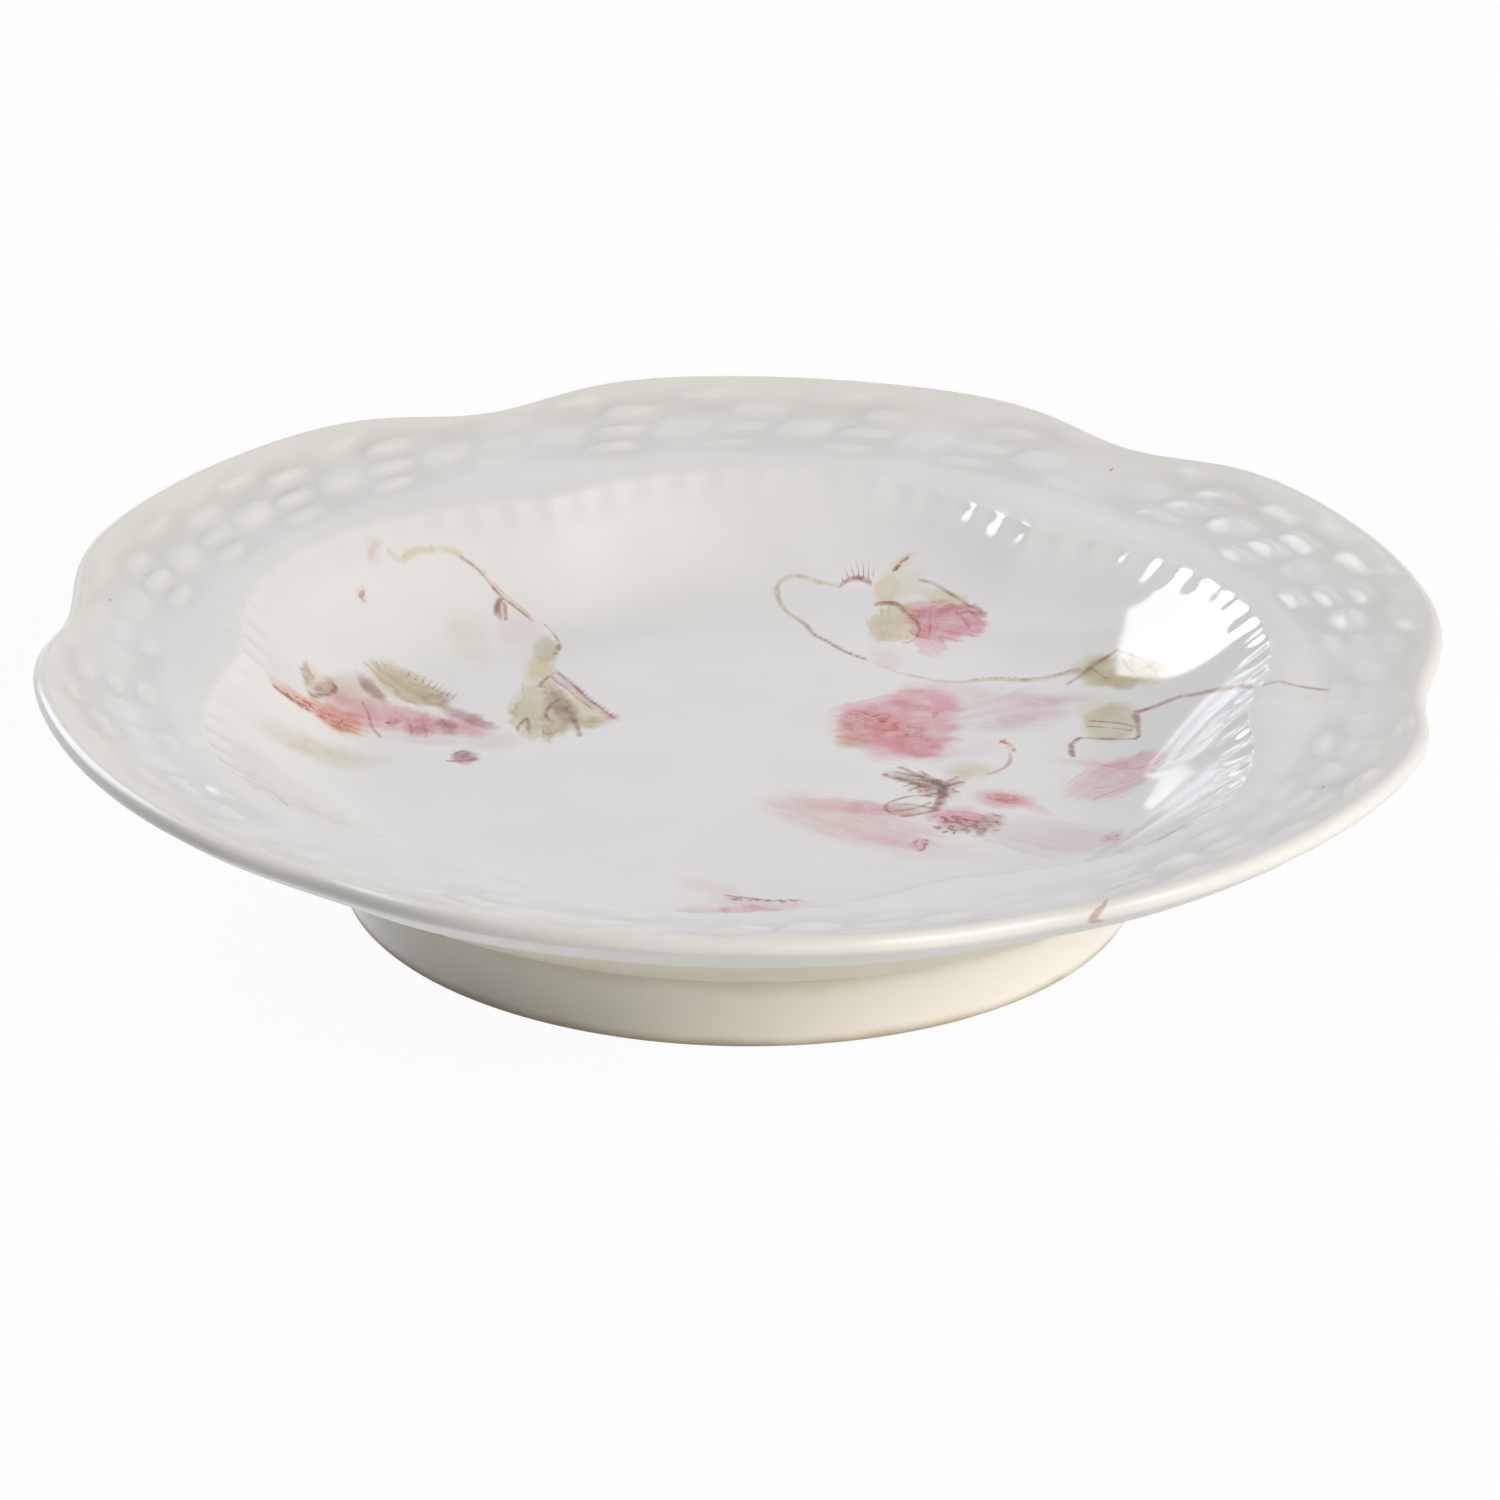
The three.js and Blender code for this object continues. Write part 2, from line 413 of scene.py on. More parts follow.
    def well_wall(angle, along):
        share = along ** 1.6
        edge = well_edge(angle)
        arch = size["Flute arch"] * scoop(angle)
        radius, height = bow(
            (edge, rim_height(edge + arch)),
            (blend(edge, size["Floor radius"], 0.5), floor_height),
            (size["Floor radius"], floor_height),
            share,
        )
        into = edge - radius
        sink = size["Flute depth"] * scoop(angle) * into.step(size["Flute length"], 0)
        lead = arch * into.step(size["Flute length"] * 0.7, 0)
        return radius + lead, height - sink * into.step(0, size["Flute start"]) - shoulder(into)

    def floor(angle, along):
        return size["Floor radius"] * (1 - along), floor_height + angle * 0

    return [
        (2, [under_glaze], base),
        (8, [under_glaze], wall_underside),
        (7, [under_glaze], rim_underside),
        (8, [rim_glaze], lip),
        (62, [rim_glaze], rim_top),
        (26, [left_well_glaze, right_well_glaze], well_wall),
        (4, [left_well_glaze, right_well_glaze], floor),
    ]


dish = turned_piece("porcelain_dish", dish_sizes, 840, dish_bands)
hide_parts("dish")
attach(dish, "root")

# Printed sprays
# Loose wild-rose sprays in rose, olive and brown, transferred onto the glaze and fired on. The
# colours lie in thin washes under drawn lines, and are rubbed in places.
porcelain = (0.725, 0.725, 0.715, 1)
clouded = (0.7, 0.702, 0.69, 1)
rose = (0.84, 0.31, 0.39, 1)
mauve = (0.78, 0.56, 0.64, 1)
orange = (0.82, 0.27, 0.07, 1)
crimson = (0.46, 0.12, 0.13, 1)
moss = (0.62, 0.52, 0.27, 1)
straw = (0.74, 0.63, 0.3, 1)
brown = (0.46, 0.21, 0.1, 1)
lip_cream = (0.995, 0.98, 0.94, 1)
hollow_shade_grey = (0.9, 0.9, 0.9, 1)


def bare_tree(material):
    material.use_nodes = True
    tree = material.node_tree
    tree.nodes.clear()
    return tree


def lay(under, ink, cover):
    """An ink over a colour, as thick as cover."""
    settings = {"data_type": "RGBA", "blend_type": "MULTIPLY"}
    return Wire.node(cover.tree, "ShaderNodeMix", settings, {0: cover, 6: under, 7: ink}, output=2)


def mixed(first, second, share):
    """A colour part of the way from first to second."""
    inputs = {0: share, 6: first, 7: second}
    return Wire.node(share.tree, "ShaderNodeMix", {"data_type": "RGBA"}, inputs, output=2)


def place_on(tree):
    """The place on the piece, in metres from the middle of the base."""
    return Wire.node(tree, "ShaderNodeTexCoord", output="Object")


def clouds(tree, scale, detail):
    """Random clouds over the piece, from 0 to 1."""
    inputs = {"Vector": place_on(tree), "Scale": scale, "Detail": detail}
    return Wire.node(tree, "ShaderNodeTexNoise", None, inputs)


def mottled(tree):
    """Bare porcelain, faintly mottled by its glaze."""
    return mixed(porcelain, clouded, clouds(tree, 170, 4).step(0.3, 0.7))


class Transfer:
    """A print in millimetres on the plan of the dish, laid on a colour one mark at a time."""

    def __init__(self, tree):
        self.tree = tree
        self.colour = mottled(tree)
        inputs = {0: place_on(tree), "Scale": 1 / mm}
        self.plan = Wire.node(tree, "ShaderNodeVectorMath", {"operation": "SCALE"}, inputs)
        self.drawn = self.shaken(0.8, 5, 1.2)
        self.ruled = self.shaken(0.45, 0, 0.7)
        self.stipple = self.noise(2.4, 1).step(0.5, 0.58)
        self.flow = self.noise(1.3, 1).step(0.3, 0.65) * 0.55 + 0.55

    def noise(self, scale, detail, output=0):
        inputs = {"Vector": self.plan, "Scale": scale, "Detail": detail}
        return Wire.node(self.tree, "ShaderNodeTexNoise", None, inputs, output)

    def shaken(self, scale, detail, reach):
        """The plan with an unsteady hand."""
        settings = {"operation": "MULTIPLY_ADD"}
        inputs = {0: self.noise(scale, detail, "Color"), 1: (reach, reach, 0), 2: self.plan}
        shifted = Wire.node(self.tree, "ShaderNodeVectorMath", settings, inputs)
        inputs = {0: shifted, 1: (reach / 2, reach / 2, 0)}
        return Wire.node(self.tree, "ShaderNodeVectorMath", {"operation": "SUBTRACT"}, inputs)

    def placed(self, plan, at, turn, size):
        """The plan as seen from a mark: turned with it, and 1 away at its half sizes."""
        inputs = {"Vector": plan, "Center": (*at, 0), "Angle": -turn}
        turned = Wire.node(self.tree, "ShaderNodeVectorRotate", {"rotation_type": "Z_AXIS"}, inputs)
        middle = (-at[0] / size[0], -at[1] / size[1], 0)
        inputs = {0: turned, 1: (1 / size[0], 1 / size[1], 0), 2: middle}
        return Wire.node(self.tree, "ShaderNodeVectorMath", {"operation": "MULTIPLY_ADD"}, inputs)

    def share(self, local, axis):
        """How far along one axis of a placed plan."""
        settings = {"operation": "DOT_PRODUCT"}
        return Wire.node(self.tree, "ShaderNodeVectorMath", settings, {0: local, 1: axis}, "Value")

    def reach(self, patch):
        """How far from the middle of a placed patch, with 1 at its edge."""
        return Wire.node(self.tree, "ShaderNodeVectorMath", {"operation": "LENGTH"}, {0: patch}, "Value")

    def wash(self, ink, strength, at, size, turn=0, soft=0.35):
        """A soft patch, with its half sizes along and across its turn."""
        patch = self.placed(self.drawn, at, math.radians(turn), size)
        self.colour = lay(self.colour, ink, self.reach(patch).step(1 + soft, 1 - soft, strength))

    def petal(self, ink, strength, at, size, turn=0, soft=0.2, paler=0.3):
        """A brushed patch that pales towards its tail and is ragged where the strokes end."""
        patch = self.placed(self.drawn, at, math.radians(turn), size)
        depth = self.share(patch, (1, 0, 0)).step(-1.1, 0.9, 1 - paler) + paler
        fan = self.share(patch, (0, 1, 0)) / (self.share(patch, (1, 0, 0)) + 2.4)
        strokes = {"W": fan * 9 + at[0], "Scale": 1, "Detail": 2}
        settings = {"noise_dimensions": "1D"}
        brush = Wire.node(self.tree, "ShaderNodeTexNoise", settings, strokes)
        cover = (self.reach(patch) + brush * 0.5 - 0.25).step(1 + soft, 1 - soft, strength)
        self.colour = lay(self.colour, ink, cover * depth * (brush.step(0.65, 0.3) * 0.3 + 0.7))

    def dots(self, ink, strength, at, size, turn=0, soft=0.35):
        """A patch of fine dots."""
        patch = self.placed(self.drawn, at, math.radians(turn), size)
        cover = self.reach(patch).step(1 + soft, 1 - soft, strength)
        self.colour = lay(self.colour, ink, cover * self.stipple)

    def along(self, start, end, rise):
        """The place along a line, from -1 to 1, its square, and the place to the left of the line,
        whose middle rises leftwards."""
        run = Vector(end) - Vector(start)
        crown = (Vector(start) + Vector(end)) / 2 + Vector((-run.y, run.x)).normalized() * rise
        local = self.placed(self.ruled, crown, math.atan2(run.y, run.x), (run.length / 2, 1))
        share = self.share(local, (1, 0, 0))
        squared = share * share
        return share, squared, squared.maths("MULTIPLY_ADD", squared, rise, self.share(local, (0, 1, 0)))

    def line(self, ink, strength, start, end, rise=0, width=0.2):
        _, squared, left = self.along(start, end, rise)
        cover = left.abs().step(width * 1.2, width * 0.15, strength) * squared.step(1.1, 0.8) * self.flow
        self.colour = lay(self.colour, ink, cover)

    def hairs(self, ink, strength, start, end, rise, count, length):
        """Short hairs that stand on the left of a line."""
        share, squared, left = self.along(start, end, rise)
        comb = ((share + left * 0.25) * (count * math.pi)).sin().step(0.55, 0.95, strength)
        cover = comb * left.step(length, 0) * left.step(-0.1, 0.05) * squared.step(1.05, 0.9)
        self.colour = lay(self.colour, ink, cover)


def rubbed(tree, print_colour):
    """The print with the bare glaze showing through where hands and knives have rubbed it."""
    kept = clouds(tree, 900, 4).step(0.28, 0.6) * 0.3 + 0.7
    return mixed(mottled(tree), print_colour, kept)


def glaze_gloss(tree, low, high):
    """A roughness that drifts between two values."""
    return blend(low, high, clouds(tree, 90, 3))


def fire(tree, colour, roughness, gloss):
    """The glazed surface itself, with a faint waviness in its gloss."""
    wave_height = 0.05 * mm
    inputs = {"Strength": 0.35, "Distance": wave_height, "Height": clouds(tree, 260, 2)}
    waves = Wire.node(tree, "ShaderNodeBump", None, inputs)
    shader = Wire.node(tree, "ShaderNodeBsdfPrincipled", None, {
        "Base Color": colour, "Roughness": roughness, "Normal": waves, "Specular IOR Level": gloss,
    })
    tree.links.new(shader.socket, tree.nodes.new("ShaderNodeOutputMaterial").inputs["Surface"])


def fire_well(spray):
    """The glaze of the well over its print."""
    colour = rubbed(spray.tree, spray.colour)
    fire(spray.tree, colour, glaze_gloss(spray.tree, 0.06, 0.12), gloss=0.7)


def from_middle(tree):
    """The distance from the middle of the base, in millimetres."""
    settings = {"operation": "LENGTH"}
    return Wire.node(tree, "ShaderNodeVectorMath", settings, {0: place_on(tree)}, "Value") / mm


spray = Transfer(bare_tree(right_well_glaze))

# The open flower on the right, from its strong petal round to the pale ones.
spray.petal(rose, 0.7, (8.2, 6.2), (3.4, 4.3), 12, 0.14, 0.85)
spray.wash(rose, 0.75, (7.2, 6.6), (2.3, 3), 30, 0.3)
spray.wash(rose, 0.5, (9.7, 4.2), (1.4, 2), 20, 0.4)
spray.wash(rose, 0.3, (10.4, 6.3), (1.4, 3.6), -6, 0.4)
spray.wash(rose, 0.8, (9.4, 10.4), (2.2, 1.6), -12, 0.3)
spray.wash(rose, 0.2, (8.8, 12.3), (1.2, 0.9), 20, 0.5)
spray.wash(rose, 0.24, (11.2, 12.2), (1.7, 0.9), 0, 0.5)
spray.petal(rose, 0.5, (9.4, 3.2), (1.2, 2.4), 90, 0.5, 0.3)
spray.wash(straw, 0.5, (5.9, 4), (1, 0.9), 0, 0.5)
spray.wash(orange, 0.3, (6.3, 5.9), (1.6, 2.2), 0, 0.5)
spray.dots(orange, 0.95, (6.3, 7.5), (1.4, 0.9), 20, 0.45)
spray.dots(orange, 0.95, (8.5, 6), (1.8, 0.75), -42, 0.45)
spray.wash(orange, 0.8, (7.3, 7.4), (0.3, 0.4), 0, 0.5)
spray.wash(orange, 0.85, (8.2, 6.2), (0.4, 0.3), 0, 0.5)
spray.wash(orange, 0.7, (10.1, 8.6), (0.16, 0.5))
spray.petal(mauve, 0.7, (14.2, 9.6), (3.2, 2.8), 30, 0.4, 0.7)
spray.wash(mauve, 0.5, (16.3, 11.5), (2.1, 0.9), 11, 0.5)
spray.wash(mauve, 0.4, (15.2, 8.9), (3, 0.7), 42, 0.6)
spray.wash(rose, 0.12, (12.6, 4.4), (1.6, 1.3), 0, 0.5)
spray.petal(rose, 0.48, (7.1, -6.7), (5.2, 2.4), -27, 0.3, 0.8)
spray.wash(straw, 0.16, (6.2, -6.9), (3.6, 1.9), -25, 0.5)
spray.petal(rose, 0.6, (6.6, -4.8), (4, 0.75), -2, 0.5, 0.4)
spray.wash(rose, 0.4, (8.4, -4.9), (1.6, 0.8), -6, 0.5)
spray.wash(rose, 0.14, (11.2, -9.9), (3.4, 1.3), -10, 0.5)
spray.wash(rose, 0.6, (11.1, -9.4), (0.5, 0.9), 10, 0.45)
spray.dots(crimson, 0.9, (11.1, -9.4), (0.6, 0.9), 10)
spray.petal(mauve, 0.62, (18.5, -7.5), (4.4, 2.2), -16, 0.35, 0.7)
spray.wash(rose, 0.5, (21.8, -7.7), (0.6, 1), 8, 0.45)
spray.dots(crimson, 0.5, (21.8, -7.7), (0.5, 0.8), 8)
spray.petal(rose, 0.75, (21.2, 0.9), (3.5, 2.1), 50, 0.18, 0.6)
spray.wash(rose, 0.3, (20.3, 3), (2.4, 0.5), -3, 0.5)
spray.line(rose, 0.5, (19.4, 3.3), (23.6, 1.5), -0.2, 0.14)
spray.line(rose, 0.5, (20.2, -1.9), (23.2, 0.2), 0.2, 0.14)
spray.line(rose, 0.4, (20, -0.4), (23.6, 0.8), 0.1, 0.12)
spray.wash(rose, 0.8, (15.1, -2.5), (1.5, 1.1), -10, 0.5)
spray.wash(orange, 0.65, (15.2, -2.6), (0.5, 0.4), 0, 0.5)
spray.dots(crimson, 0.45, (15.1, -2.4), (0.9, 0.7))
spray.wash(rose, 0.3, (16.9, -3.5), (1.4, 0.5), -35, 0.5)

# Its stamens and the dark marks round them.
spray.wash(rose, 0.85, (13.2, -5.6), (1.8, 1.3), -25, 0.45)
spray.wash(crimson, 0.45, (12.8, -6.5), (0.9, 1), -15, 0.5)
spray.dots(crimson, 1, (12.7, -6.4), (1.2, 1.4), -10, 0.45)
spray.dots(brown, 1, (14.6, -6.1), (0.8, 1.4), -15, 0.45)
spray.wash(brown, 0.3, (14.5, -6), (0.8, 1.2), -15, 0.5)
spray.wash(moss, 0.3, (14.7, -6.2), (0.7, 1.2), -15, 0.5)
spray.line(crimson, 0.6, (12.1, -4.6), (14.6, -5.3), 0.3, 0.13)
spray.wash(straw, 0.55, (13, 1.1), (1.3, 1), 0, 0.5)
spray.wash(moss, 0.3, (12.4, 0.5), (0.7, 0.7), 0, 0.5)
spray.wash(brown, 0.6, (10.1, -0.6), (1.8, 0.6), -28, 0.5)
spray.wash(brown, 0.5, (12.2, -0.9), (0.9, 0.45), 40, 0.5)
spray.wash(crimson, 0.6, (11.1, -1.8), (1.1, 0.9), -25, 0.5)
spray.dots(brown, 0.8, (10.8, -1.4), (1.8, 1.2), -28, 0.5)
spray.line(brown, 1, (8.1, 0), (11.4, -1.7), -0.2, 0.3)
spray.line(brown, 0.95, (9, 1), (11.4, -1.4), 0.1, 0.24)
spray.line(brown, 0.85, (8.8, 0.3), (11.2, -0.9), 0.1, 0.16)
spray.line(brown, 0.85, (10.2, 0.6), (11.4, -1.4), 0.1, 0.2)
spray.line(brown, 0.9, (12.9, -0.5), (11.5, -2.3), -0.5, 0.2)
spray.line(brown, 0.8, (12.3, 0.2), (11.5, -1.6), -0.2, 0.18)
spray.line(crimson, 1, (11.4, -1.1), (11.4, -4.8), 0.45, 0.42)
spray.line(brown, 0.8, (11.4, -1.2), (11.4, -4.4), 0.45, 0.28)
spray.line(brown, 0.8, (8.9, -3.9), (11.3, -2.7), 0.5, 0.17)
spray.line(brown, 0.85, (9, -4.1), (11.4, -4.3), 0.1, 0.18)
spray.line(brown, 0.75, (9, -5), (11.3, -3.5), -0.2, 0.16)
spray.line(brown, 0.85, (9.6, -5.5), (11.7, -4.6), -0.1, 0.2)
spray.line(brown, 0.75, (8.9, -3.8), (9.3, -5.3), -0.3, 0.16)
spray.wash(moss, 0.3, (10.2, -4.7), (1.1, 0.7), 15, 0.5)
spray.dots(orange, 1, (14.6, 5), (1, 0.3), -62, 0.4)
spray.line(orange, 0.5, (14.2, 5.8), (15, 4.2), 0.1, 0.26)
spray.line(mauve, 1, (14.9, 3.9), (13.9, 0.6), 0.55, 0.2)
spray.line(rose, 0.5, (14.9, 3.9), (13.9, 0.6), 0.55, 0.14)

# Its leaves, and the stem that leaves it to the right and runs out over the flutes.
spray.wash(moss, 0.6, (20.3, 8.4), (1.65, 2.2), 8, 0.2)
spray.wash(straw, 0.3, (19.2, 10.2), (1.2, 1.4), 10, 0.5)
spray.line(brown, 0.7, (18.9, 8.9), (21.8, 7.5), 0.3, 0.18)
spray.line(brown, 0.6, (18.8, 8.1), (21.6, 7.2), 0.1, 0.16)
spray.line(brown, 0.85, (21.6, 9.1), (22, 6), 0.15, 0.22)
spray.line(brown, 0.85, (22, 6), (18.7, 6.4), -0.15, 0.2)
spray.line(brown, 1, (18.8, 6.5), (18.4, 3.8), -0.15, 0.23)
spray.line(crimson, 0.7, (18.8, 6.5), (18.4, 3.8), -0.15, 0.18)
spray.wash(moss, 0.95, (20.2, 13.9), (2.8, 1.3), -30, 0.3)
spray.wash(straw, 0.6, (22.4, 13), (1.5, 0.8), -40, 0.5)
spray.line(brown, 0.75, (20, 16), (17.3, 13.5), -0.2, 0.2)
spray.line(brown, 0.5, (20.3, 15), (21.4, 12.9), -0.1, 0.12)
spray.line(brown, 0.5, (19.9, 15.8), (22.5, 12.7), 0.35, 0.13)
spray.line(brown, 0.5, (18.5, 14.9), (19.5, 13.4), 0, 0.12)
spray.line(crimson, 1, (21.5, 9.2), (24.2, 9.3), 0.1, 0.26)
spray.line(brown, 0.85, (24.1, 9.3), (26.7, 7.4), 0.2, 0.22)
spray.line(brown, 0.75, (26.6, 7.5), (29.1, 3.5), 0.2, 0.22)

# The long stem, which loops up to the bud.
spray.line(moss, 0.9, (18, 14.9), (11.8, 13.8), 0.1, 0.34)
spray.line(brown, 0.3, (17.4, 14.9), (12.4, 14.1), 0.1, 0.13)
spray.hairs(brown, 0.6, (11.8, 13.9), (14.4, 14.4), 0, 7, 0.6)
spray.line(moss, 0.55, (12, 13.85), (8.3, 14), 0.4, 0.3)
spray.line(rose, 0.3, (8.5, 13.9), (5.3, 15.9), 0, 0.2)
spray.line(moss, 0.5, (5.4, 15.8), (1.3, 20.1), 0.25, 0.3)
spray.line(brown, 0.6, (5.4, 15.8), (1.3, 20.1), 0.25, 0.17)
spray.hairs(brown, 0.8, (2, 19.1), (5.3, 15.8), -0.2, 11, 0.5)
spray.line(moss, 0.55, (1.4, 20), (-0.7, 24), 0.25, 0.26)
spray.line(brown, 0.3, (1.4, 20), (-0.5, 23.4), 0.2, 0.12)
spray.line(moss, 0.55, (-0.7, 23.8), (0.6, 24.9), 0.5, 0.22)
spray.line(moss, 0.55, (0.4, 25), (2.9, 24), 0.1, 0.2)
spray.line(crimson, 1, (2.8, 24.1), (5, 24.3), 0.5, 0.28)
spray.hairs(crimson, 0.85, (2.9, 24.4), (5, 24.5), 0.4, 6, 1.2)

# The bud.
spray.petal(straw, 0.85, (6.5, 20.6), (1.95, 1.5), 90, 0.14, 0.9)
spray.wash(moss, 0.25, (5.9, 20.2), (0.7, 1.5), 0, 0.5)
spray.wash(straw, 0.55, (5.7, 23.8), (0.65, 1), 0, 0.35)
spray.wash(straw, 0.3, (6.9, 24), (1, 0.8), 0, 0.5)
spray.line(brown, 0.8, (5.2, 22.7), (7.1, 21.9), 0.3, 0.28)
spray.line(orange, 0.5, (5.2, 22.8), (7.1, 22), 0.3, 0.14)
spray.line(brown, 0.7, (7, 22.1), (8.2, 19.7), 0.35, 0.14)
spray.line(brown, 0.6, (8.2, 19.8), (7.3, 18.4), 0.2, 0.13)
spray.petal(rose, 1, (9.6, 20.5), (2.4, 1.5), -18, 0.14, 0.85)
spray.wash(rose, 0.5, (8.4, 21.9), (1.4, 0.6), -8, 0.35)
spray.petal(rose, 0.75, (8.9, 18.6), (1.9, 0.9), 105, 0.25, 0.5)
spray.line(crimson, 0.55, (10.1, 21.3), (11.2, 19.8), 0.1, 0.12)
spray.line(crimson, 0.55, (10.4, 21.2), (11.9, 20.4), 0.1, 0.12)
spray.line(crimson, 0.5, (10.7, 21.3), (11.7, 20.1), 0.1, 0.1)
spray.line(rose, 0.5, (8.6, 22.3), (9.2, 18.4), -0.2, 0.12)
spray.wash(straw, 0.6, (9.3, 22.5), (1.7, 0.55), -30, 0.35)
spray.line(brown, 0.7, (7.8, 24.1), (10.9, 21.4), 0.2, 0.13)
spray.line(crimson, 0.65, (10.3, 21.9), (12, 20.4), 0.1, 0.13)
spray.wash(straw, 0.25, (6.5, 25.4), (0.9, 0.5), 38, 0.5)
spray.line(orange, 0.75, (5.9, 24.9), (7.1, 25.8), 0.05, 0.16)
spray.dots(brown, 0.9, (6.5, 25.4), (0.75, 0.16), 38)
spray.wash(rose, 0.2, (6.6, 16.3), (0.8, 1.6), 20, 0.5)

# The small blossom in front, most of which the rim hides from a low view.
spray.wash(rose, 0.2, (0.4, -16.7), (1.8, 0.8), -25, 0.6)
spray.wash(rose, 0.3, (3.2, -18.4), (2.6, 0.6), 0, 0.5)
spray.line(brown, 0.75, (1, -17.3), (5.2, -17.6), -0.4, 0.17)
spray.dots(brown, 0.8, (3, -17.9), (2.2, 0.3))
spray.petal(rose, 0.7, (3.2, -20.4), (1.7, 2.4), 90, 0.2, 0.5)
spray.wash(rose, 0.4, (0.2, -20.6), (1.6, 1.4), 20)
spray.wash(moss, 0.7, (6.8, -20.2), (1.8, 0.8), 20, 0.25)
spray.line(brown, 0.6, (4.8, -21.2), (9.4, -22.4), 0.3, 0.15)
fire_well(spray)

spray = Transfer(bare_tree(left_well_glaze))

# The drooping flower on the left, under its hairy cap.
spray.wash(rose, 0.4, (-21.6, 3.7), (2.8, 1.9), -22, 0.4)
spray.wash(rose, 0.4, (-17.8, 3.2), (2.8, 1.3), -18, 0.4)
spray.petal(moss, 1, (-20, 7.7), (2.9, 1.4), -37, 0.2, 0.85)
spray.wash(straw, 0.3, (-20, 7.7), (2.4, 1.1), -37, 0.3)
spray.wash(brown, 0.3, (-18.3, 6.5), (1.2, 0.8), -45, 0.5)
spray.hairs(brown, 0.7, (-20.7, 9.4), (-17.4, 6.6), 0.3, 9, 1.1)
spray.wash(brown, 0.5, (-17.6, 6), (0.3, 0.8), 15, 0.5)
spray.petal(orange, 1, (-23.2, 1.3), (1.8, 1.4), 10, 0.35, 0.9)
spray.wash(crimson, 0.3, (-23.2, 0.8), (1.1, 0.7), 10, 0.5)
spray.dots(orange, 1, (-23.6, 1), (1.4, 0.9), 15)
spray.wash(rose, 0.35, (-23, 3.1), (1.7, 1.9), -15, 0.45)
spray.wash(straw, 0.3, (-22.6, 5), (1.6, 1.4), -40, 0.5)
spray.wash(brown, 0.2, (-23.6, 3.8), (0.9, 1.2), -15, 0.5)
spray.wash(crimson, 0.6, (-22, 6.5), (1.4, 0.6), -50, 0.4)
spray.wash(brown, 0.45, (-21.9, 6.4), (1.1, 0.45), -50, 0.5)
spray.wash(brown, 0.2, (-23, 6.5), (0.8, 1.3), -35, 0.5)
spray.petal(rose, 0.6, (-20.2, 3.4), (1.6, 1.9), 95, 0.35, 0.5)
spray.wash(rose, 0.75, (-18.5, 2.6), (1, 1.3), 0, 0.4)
spray.wash(crimson, 0.35, (-18.4, 2.3), (0.6, 0.7), 0, 0.5)
spray.wash(crimson, 0.75, (-17.2, 2.9), (0.5, 1.1), 20, 0.4)
spray.wash(mauve, 0.4, (-18, 0.9), (1.8, 0.7), 0, 0.5)
spray.wash(crimson, 0.55, (-16.1, 4.3), (1.9, 0.65), -37, 0.35)
spray.wash(brown, 0.3, (-15.8, 4), (1.6, 0.5), -37, 0.4)
spray.wash(rose, 0.6, (-16.2, 2.9), (1.5, 1.3), -30, 0.4)
spray.wash(orange, 0.95, (-20.3, 3), (0.32, 0.5), 10)
spray.dots(brown, 0.9, (-20.3, 2.9), (0.3, 0.4), 10)
spray.line(crimson, 0.65, (-22.4, 4.6), (-20.8, 0.6), 0.15, 0.17)
spray.line(crimson, 0.5, (-19.5, 3.8), (-19.1, 1.4), 0.1, 0.14)
spray.line(crimson, 0.5, (-18.6, 3.6), (-18.2, 1.2), 0.1, 0.14)
spray.line(crimson, 0.5, (-17.5, 4), (-16.8, 1.8), 0.1, 0.14)
spray.wash(brown, 0.65, (-24.4, 4.4), (0.4, 1.3), -12, 0.5)
spray.wash(brown, 0.6, (-25.4, 4.2), (0.26, 1.3), 12, 0.5)
spray.wash(straw, 0.5, (-25, 4), (0.6, 1.6), 5, 0.5)
spray.line(brown, 0.85, (-24, 5.3), (-24.9, 2), 0.35, 0.2)
spray.line(brown, 0.6, (-25.1, 2.2), (-24.3, 3.2), -0.1, 0.16)
spray.line(brown, 1, (-26.8, -0.6), (-24.7, 0.5), -0.1, 0.24)
spray.dots(brown, 1, (-25.2, 0.3), (1, 0.4), 25)
spray.wash(orange, 0.6, (-25.5, 0.4), (1.2, 0.7), 25, 0.5)
spray.wash(crimson, 0.7, (-15.6, -1.1), (0.75, 1), 12, 0.4)
spray.wash(crimson, 0.45, (-15.3, -1.2), (0.5, 0.6), 30, 0.4)
spray.line(crimson, 0.7, (-16.6, -1.8), (-14.8, -1.6), -0.2, 0.16)
spray.line(crimson, 0.7, (-16.2, -0.9), (-15.6, -0.3), 0.1, 0.16)
spray.wash(brown, 1, (-15.5, -0.8), (0.26, 0.36))
spray.wash(brown, 0.4, (-15.6, -1.2), (0.7, 0.8), 12, 0.5)
spray.wash(brown, 0.18, (-14.4, 1.3), (1.4, 1.2), 0, 0.5)
spray.wash(moss, 0.5, (-23.4, -3.6), (3, 1.1), 24, 0.75)

